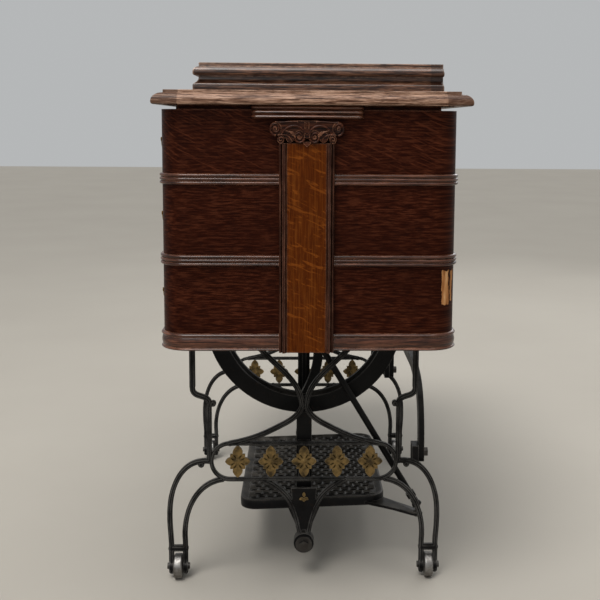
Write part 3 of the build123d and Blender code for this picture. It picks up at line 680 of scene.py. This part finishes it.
# ---------------------------------------------------------------- capitals and cap blocks
def disc(centre, radius, x0, x1, steps=28):
    """A carved boss with an eased rim, a little taller than wide."""
    tall = 1.2
    return loft([[(x, centre[0] + r * math.cos(a), centre[1] + tall * r * math.sin(a)) for a in around(steps)]
                 for x, r in ((x0, radius), (x1 - (x1 - x0) * 0.18, radius), (x1, radius * 0.88))])


def bezier(start, lean, pull, end, steps=14):
    """Points of a smooth curve in a plane, from start to end, bent by two handles."""
    points = []
    for k in range(steps + 1):
        t = k / steps
        a, b, c, d = (1 - t) ** 3, 3 * t * (1 - t) ** 2, 3 * t * t * (1 - t), t ** 3
        points.append(tuple(a * p + b * q + c * m + d * n for p, q, m, n in zip(start, lean, pull, end)))
    return points


def volute(centre, radius, start, turns, hand):
    """Points of a scroll in a plane, wound inwards to a small eye."""
    points = []
    steps = 34
    for k in range(steps + 1):
        share = k / steps
        angle = math.radians(start) + hand * 2 * math.pi * turns * share
        r = radius * (0.22 + 0.78 * (1 - share) ** 1.15)
        points.append((centre[0] + r * math.cos(angle), centre[1] + r * math.sin(angle)))
    return points


def scrolls(hand):
    """The raised lines of half a capital, as (points, radius, thinning) in millimetres."""
    corner, middle = (hand * 41, 9.5), (hand * 10.2, 18.6)
    lines = [
        (bezier((hand * 12, 1.8), (hand * 22, 0.6), (hand * 32, 3.5), (hand * 41, 2.1)), 1.15, 1.0),
        (volute(corner, 7.4, 90, 1.7, -hand), 1.5, 0.6),
        (bezier((hand * 33, 15.5), (hand * 25, 3.5), (hand * 9, 2.5), (hand * 2.6, 15)), 1.6, 1.0),
        (volute(middle, 7.2, 180 if hand > 0 else 0, 1.65, -hand), 1.6, 0.6),
        (bezier((hand * 37, 16.4), (hand * 31, 15.8), (hand * 23, 15.6), (hand * 20, 22.5)), 1.1, 0.5),
        (volute((hand * 34, 21.6), 4.3, 90, 1.2, hand), 1.0, 0.5),
    ]
    for n in range(4):
        tip = (hand * (19.5 + 3.2 * n), 12.6 - 0.4 * n)
        root = (hand * (15 + 1.2 * n), 18.5 - 0.5 * n)
        lines.append((bezier(root, (root[0], root[1] - 3), (tip[0] - hand * 2, tip[1]), tip, 7), 0.9, 0.4))
    return lines


def capital(label, side):
    """A carved capital: scrolls at its corners, two scrolls at its middle, and leaves under the arms."""
    low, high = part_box("capitals")
    outer = high.x if side > 0 else low.x
    ground_x = outer - side * 0.0058
    root_x = wing_face(label, side)
    middle = (low.y + high.y) / 2

    def at(y, down):
        """A place on the capital, from millimetres across and down."""
        return middle + 1.035 * y / 1000, high.z - 1.2 * down / 1000

    def rope(points, radius, thin):
        """A raised carved line that tapers to its end."""
        count = len(points) - 1
        lift = outer - side * radius * 1.25
        taper = [1 - (1 - thin) * (k / count) for k in range(count + 1)]
        return tube([(lift, *at(y, down)) for y, down in points], radius, taper, 7)

    band = [(-44, 5), (-32, 1.6), (-14, 0.4), (14, 0.4), (32, 1.6), (44, 5),
            (45, 15), (30, 20), (-30, 20), (-45, 15)]
    drop = [(-6, 24), (6, 24), (4.2, 26.4), (0, 29.8), (-4.2, 26.4)]
    parts = [plate_x([at(*point) for point in band], root_x, ground_x),
             plate_x([at(*point) for point in drop], root_x, outer - side * 0.0024)]
    for hand in (-1, 1):
        for y, down, r in ((41, 9.5, 8.2), (34, 21.5, 5.2), (22, 19, 6.5), (10.2, 18.6, 7.8)):
            parts.append(disc(at(hand * y, down), r / 1000, root_x, ground_x + side * 0.0006))
        for y, down, r in ((41, 9.5, 2.2), (10.2, 18.6, 2.0)):
            parts.append(disc(at(hand * y, down), r / 1000, ground_x, outer - side * 0.0012, 14))
        parts += [rope(points, radius / 1000, thin) for points, radius, thin in scrolls(hand)]
    for flute in (-2.6, 0, 2.6):
        parts.append(rope([(flute, 2.0 + 1.1 * k) for k in range(8)], 0.00085, 0.5))
    return join_parts(parts)


def cap_block(label, side):
    """The reeded block between the capital and the table top, with rounded ends."""
    low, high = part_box("cap_blocks")
    root = wing_face(label, side)
    deep_out = abs((high.x if side > 0 else low.x) - root)
    each = (high.z - low.z) / 3
    overhang = 0.0035
    groove = 0.55           # share of the depth left between two reeds
    profile = [(groove, low.z)]
    for n in range(3):
        profile += [(groove + (1 - groove) * math.sin(math.pi * k / 6),
                     low.z + each * (n + 0.5 - 0.5 * math.cos(math.pi * k / 6))) for k in range(7)]
    profile.append((groove, high.z))
    rings = []
    for share, z in profile:
        reach = deep_out * share
        front = low.y - overhang + deep_out * (1 - share) * 0.5
        back = high.y + overhang - deep_out * (1 - share) * 0.5
        end = round_end(root + side * reach, front, back, side, min(reach, 0.009), 5)
        rings.append([(x, y, z) for x, y in ((root, front), *end, (root, back))])
    return loft(rings)


for label, side in SIDES:
    made = piece(f"carved_capital_{label}", capital(label, side), carved_oak, "stand", (), 55)
    if side > 0:
        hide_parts("capitals")
piece("reeded_blocks", join_parts([cap_block(label, side) for label, side in SIDES]), moulding_oak, "stand",
      ("cap_blocks",), 50)


# ---------------------------------------------------------------- drawer fronts
FIELD_OUT = 0.0018      # how far a raised panel stands out from a drawer front
PULL_HALF = 0.019       # half the distance between the posts of a pull


def raised_field(low, high, front, margin):
    """A raised panel on a drawer front, with a bevelled edge and a bead round it."""
    rings = []
    for inset, out in ((0.0, 0.0), (0.0012, 0.0013), (0.0030, 0.0016), (0.0048, 0.0008), (0.0062, 0.0006),
                       (0.0110, FIELD_OUT), (0.0125, FIELD_OUT)):
        edge, y = margin + inset, front - out
        rings.append([(low.x + edge, y, low.z + edge), (high.x - edge, y, low.z + edge),
                      (high.x - edge, y, high.z - edge), (low.x + edge, y, high.z - edge)])
    return loft(rings)


def back_plate(centre, front, half_wide=0.030, half_tall=0.0125, thick=0.0012):
    """A brass back plate with a scalloped outline and a domed face."""
    scallops, scallop_depth = 8, 0.07
    rings = []
    for share, out in ((1.0, 0.0), (1.0, 0.5), (0.93, 0.85), (0.55, 1.0), (0.04, 1.25)):
        ring = []
        for angle in around(48):
            wave = share * (1 + scallop_depth * math.cos(scallops * angle))
            ring.append((centre.x + half_wide * wave * math.cos(angle), front - out * thick,
                         centre.z + half_tall * wave * math.sin(angle)))
        rings.append(ring)
    return loft(rings)


def bail(centre, front, drop=0.0125, radius=0.0013):
    """A hanging bail handle with a swelling at its middle."""
    steps = 24
    points, taper = [], []
    for k in range(steps + 1):
        angle = math.pi * k / steps
        points.append((centre.x - PULL_HALF * math.cos(angle), front - 0.0030,
                       centre.z + 0.004 - drop * math.sin(angle) ** 0.8))
        taper.append(0.75 + 0.5 * math.sin(angle) ** 3)
    return tube(points, radius, taper, 10, Vector((0, 1, 0)))


def stud(x, z, front):
    """A turned post that carries one end of the bail."""
    profile = ((0.0032, 0.0), (0.0032, 0.0009), (0.0020, 0.0016), (0.0020, 0.0026), (0.0030, 0.0036),
               (0.0026, 0.0044), (0.0006, 0.0046))
    return loft([[(x + r * math.cos(a), front - out, z + r * math.sin(a)) for a in around(14)]
                 for r, out in profile])


def drawer_trim(tier, label):
    """The raised panel and the bail pull of one drawer."""
    name = f"{tier}_{label}"
    low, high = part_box(f"drawer_{name}")
    front = low.y + 0.0001
    piece(f"drawer_panel_{name}", raised_field(low, high, front, 0.007), drawer_oak, f"drawer_{name}",
          (), 30)
    centre = (low + high) / 2
    face = front - FIELD_OUT
    parts = [back_plate(centre, face), bail(centre, face)]
    parts += [stud(centre.x + end * PULL_HALF, centre.z + 0.004, face) for end in (-1, 1)]
    piece(f"bail_pull_{name}", join_parts(parts), brass, f"drawer_{name}", (f"pull_{name}",), 40)


for label, side in SIDES:
    for tier in TIERS:
        drawer_trim(tier, label)

# ---------------------------------------------------------------- treadle
TREADLE_LEVEL = 0.101
TREADLE_RIGHT = 0.222
TREADLE_FRONT, TREADLE_BACK = -0.105, 0.133     # from the ironwork's centre line
TREADLE_TILT = 2                                # degrees
RIM_WIDTH = 0.014
LUG_XS = (-0.100, 0.056, 0.212)


def lattice(x0, x1, y0, y1, rows, columns, rise):
    """A flat lattice of staggered oval slots, as the mesh of its top face. Every edge is shared."""
    pitch_x = (x1 - x0) / rows
    pitch_y = (y1 - y0) / (columns + 0.5)
    end_rim = ((0, 0), (0.5, 0), (1, 0), (1, 0.5), (1, 1), (0.5, 1), (0, 1), (0, 0.5))
    slot_rim = ((-1, -1), (-1, -0.5), (-1, 0), (-1, 0.5), (-1, 1), (0, 1),
                (1, 1), (1, 0.5), (1, 0), (1, -0.5), (1, -1), (0, -1))
    count = len(slot_rim)
    verts, faces = [], []
    for row in range(rows):
        shift = pitch_y / 2 if row % 2 else 0
        low, high = (y0, y0 + shift) if shift else (y1 - pitch_y / 2, y1)
        faces.append(tuple(range(len(verts), len(verts) + len(end_rim))))
        verts += [(x0 + (row + u) * pitch_x, low + v * (high - low), rise) for u, v in end_rim]
        for column in range(columns):
            centre = (x0 + (row + 0.5) * pitch_x, y0 + shift + (column + 0.5) * pitch_y)
            base = len(verts)
            verts += [(centre[0] + u * pitch_x / 2, centre[1] + v * pitch_y / 2, rise) for u, v in slot_rim]
            for u, v in slot_rim:
                angle = math.atan2(v, u)
                verts.append((centre[0] + 0.27 * pitch_x * math.cos(angle),
                              centre[1] + 0.40 * pitch_y * math.sin(angle), rise - 0.0022))
            faces += [(base + n, base + (n + 1) % count, base + count + (n + 1) % count, base + count + n)
                      for n in range(count)]
    return verts, faces


def thickened(shape, thickness):
    """A solid made from a flat sheet: its cells are joined and it is given a thickness."""
    mesh = bpy.data.meshes.new("lattice")
    mesh.from_pydata(shape[0], [], shape[1])
    built = bmesh.new()
    built.from_mesh(mesh)
    bmesh.ops.remove_doubles(built, verts=built.verts, dist=2e-5)
    bmesh.ops.recalc_face_normals(built, faces=built.faces)
    if sum(face.normal.z for face in built.faces) < 0:
        bmesh.ops.reverse_faces(built, faces=built.faces)
    bmesh.ops.solidify(built, geom=built.faces[:], thickness=thickness)
    built.verts.ensure_lookup_table()
    solid = ([tuple(v.co) for v in built.verts], [tuple(v.index for v in f.verts) for f in built.faces])
    built.free()
    bpy.data.meshes.remove(mesh)
    return solid


def rounded_rectangle(x0, x1, y0, y1, r, z, steps=6):
    """Points of a level rectangle with round corners."""
    points = []
    corners = ((x1 - r, y1 - r, 0), (x0 + r, y1 - r, 90), (x0 + r, y0 + r, 180), (x1 - r, y0 + r, 270))
    for cx, cy, start in corners:
        for k in range(steps + 1):
            angle = math.radians(start + 90 * k / steps)
            points.append((cx + r * math.cos(angle), cy + r * math.sin(angle), z))
    return points


def treadle_border(x0, x1, y0, y1):
    """The treadle's raised rim. Its section holds (inset, height) pairs."""
    section = [(0.0, -0.010), (0.0, 0.002), (0.0012, 0.0046), (0.0035, 0.0056), (0.0060, 0.0050),
               (0.0085, 0.0030), (0.0155, 0.0022), (0.0155, -0.0035), (0.0060, -0.0038), (0.0060, -0.010)]
    rings = [rounded_rectangle(x0 + d, x1 - d, y0 + d, y1 - d, max(0.028 - d, 0.013), z) for d, z in section]
    return loft(rings + [rings[0]], cap_ends=False)


def treadle_lug(x, rod_z=0.058, half_wide=0.005, r=0.0135):
    """A lug that carries the treadle on its rod."""
    plan = [(-0.030, 0.040), (-r, 0.002)]
    plan += [(r * math.cos(math.radians(a)), r * math.sin(math.radians(a))) for a in range(190, 351, 20)]
    plan += [(r, 0.002), (0.030, 0.041)]
    return plate_x([(IRON_Y + y, rod_z + z) for y, z in plan], x - half_wide, x + half_wide)


def treadle_ear():
    """The arm that reaches from the plate's right back corner to the pitman, and the eye at its end."""
    arm = [(0.204, 0.108), (0.196, 0.126), (0.230, 0.160), (0.258, 0.188), (0.266, 0.190), (0.2725, 0.184),
           (0.272, 0.174), (0.250, 0.146), (0.222, 0.100)]
    middle_x, middle_y = 0.236, 0.147
    arm_rings = [[(middle_x + (x - middle_x) * share, IRON_Y + middle_y + (y - middle_y) * share, z)
                  for x, y in arm] for share, z in ((0.97, 0.0962), (1, 0.0970), (1, 0.1000), (0.97, 0.1008))]
    eye_x, eye_y = 0.2645, 0.181
    eye_rings = [[(eye_x + r * math.cos(a), IRON_Y + eye_y + r * math.sin(a), z) for a in around(20)]
                 for r, z in ((0.0066, 0.0990), (0.0066, 0.1014), (0.0056, 0.1022))]
    return [loft(arm_rings), loft(eye_rings)]


def treadle():
    """The treadle: a slotted plate in a raised rim, on three lugs, with an ear for the pitman."""
    x0, x1, y0, y1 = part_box("treadle_plate")[0].x, TREADLE_RIGHT, TREADLE_FRONT, TREADLE_BACK
    flat = lattice(x0 + RIM_WIDTH, x1 - RIM_WIDTH, y0 + RIM_WIDTH, y1 - RIM_WIDTH, 19, 14, 0.0045)
    tilt = Matrix.Rotation(math.radians(TREADLE_TILT), 4, "X")
    place = Vector((0, IRON_Y, TREADLE_LEVEL))
    parts = [([tuple(tilt @ Vector(v) + place) for v in verts], faces)
             for verts, faces in (thickened(flat, 0.006), treadle_border(x0, x1, y0, y1))]
    return join_parts(parts + [treadle_lug(x) for x in LUG_XS] + treadle_ear())


piece("slotted_treadle", treadle(), treadle_iron, "treadle", ("treadle_plate",), 40)

# ---------------------------------------------------------------- gilt ornaments
ROSETTE_PITCH = 0.052
ROSETTE_Z = 0.1905
PETALS = (((90, 270), 0.0256, 0.0078), ((0, 180), 0.0195, 0.0062), ((45, 135, 225, 315), 0.0165, 0.0040))
TREFOIL_Z = 0.1320
LEAVES = ((90, 0.0085), (205, 0.0078), (335, 0.0078), (270, 0.0070))


def petal(centre, degrees, reach, width, start):
    """The outline of a pointed petal that grows from a centre."""
    angle = math.radians(degrees)
    along = (math.cos(angle), math.sin(angle))
    across = (-along[1], along[0])
    shares = [(k / 12, 1) for k in range(13)] + [(k / 12, -1) for k in range(11, 0, -1)]
    points = [(start + (reach - start) * share, hand * width * math.sin(math.pi * share) ** 0.8)
              for share, hand in shares]
    return [(centre[0] + along[0] * u + across[0] * v, centre[1] + along[1] * u + across[1] * v)
            for u, v in points]


def rosette(centre, side):
    """A flat eight-petalled flower, with long upright petals and short level ones, and a round button."""
    back_x, face_x = side * 0.2777, side * 0.2828
    parts = [plate_x(petal(centre, angle, length, width, 0.003), back_x, face_x)
             for angles, length, width in PETALS for angle in angles]
    button = ((-0.002, 0.0001), (-0.002, 0.0062), (0.0006, 0.0058), (0.0018, 0.0040), (0.0022, 0.0001))
    parts.append(lathe_x((face_x - side * 0.0015, *centre), [(side * x, r) for x, r in button]))
    return join_parts(parts)


def ornaments(side):
    """Five rosettes in the oval, and a trefoil with a stalk on the shield."""
    parts = [rosette((IRON_Y + n * ROSETTE_PITCH, ROSETTE_Z), side) for n in range(-2, 3)]
    for angle, length in LEAVES:
        parts.append(plate_x(petal((IRON_Y, TREFOIL_Z), angle, length, 0.0024, 0.0008),
                             side * 0.2826, side * 0.2839))
    return join_parts(parts)


for label, side in SIDES:
    piece(f"gilt_rosettes_{label}", ornaments(side), gilt, "stand", (f"frame_ornaments_{label}",), 30)


# ---------------------------------------------------------------- floor and light
def stage():
    """A wide pale floor."""
    g = Graph("pale_floor")
    cloud = g.noise(g.scaled((1.6, 1.6, 1.6)), detail=5)
    grain = g.noise(g.scaled((160, 160, 160)), detail=3)
    colour = g.ramp(cloud, (0.3, (0.345, 0.32, 0.282)), (0.7, (0.365, 0.34, 0.30)))
    g.bump(grain, 0.05, 0.001)
    reach = 14
    mesh = bpy.data.meshes.new("floor")
    mesh.from_pydata([(-reach, -reach, 0), (reach, -reach, 0), (reach, reach, 0), (-reach, reach, 0)], [],
                     [(0, 1, 2, 3)])
    mesh.materials.append(g.finish(colour, 0.8, specular=0.2))
    floor = bpy.data.objects.new("floor", mesh)
    bpy.context.scene.collection.objects.link(floor)


def add_light(name, kind, power, tint, way, place=(0, 0, 0)):
    """A light that shines in a direction."""
    data = bpy.data.lights.new(name, kind)
    data.energy = power
    data.color = tint
    light = bpy.data.objects.new(name, data)
    light.location = place
    light.rotation_euler = Vector(way).to_track_quat("-Z", "Y").to_euler()
    bpy.context.scene.collection.objects.link(light)
    return data


def soft_box(name, place, size, power, tint=(1, 1, 1)):
    """A square area light that points at the middle of the object."""
    aim = Vector((0, 0, 0.5))
    add_light(name, "AREA", power, tint, aim - Vector(place), place).size = size


def studio():
    """Soft even light: a broad sun from above the camera's side, soft boxes, and a pale world."""
    scene = bpy.context.scene
    scene.view_settings.view_transform = "Standard"
    world = bpy.data.worlds.new("studio")
    world.use_nodes = True
    background = world.node_tree.nodes["Background"]
    background.inputs["Color"].default_value = (0.80, 0.82, 0.83, 1)
    background.inputs["Strength"].default_value = 0.58
    scene.world = world
    add_light("sky", "SUN", 1.9, (1, 0.985, 0.96), (-0.75, 0.45, -1.5)).angle = 0.45
    soft_box("overhead", (0.5, 0, 3.0), 2.2, 48, (1, 0.99, 0.97))
    soft_box("front", (2.4, -0.9, 1.7), 0.9, 8, (1, 0.98, 0.95))
    soft_box("back", (-2.4, 1.4, 1.9), 1.6, 16)


stage()
studio()
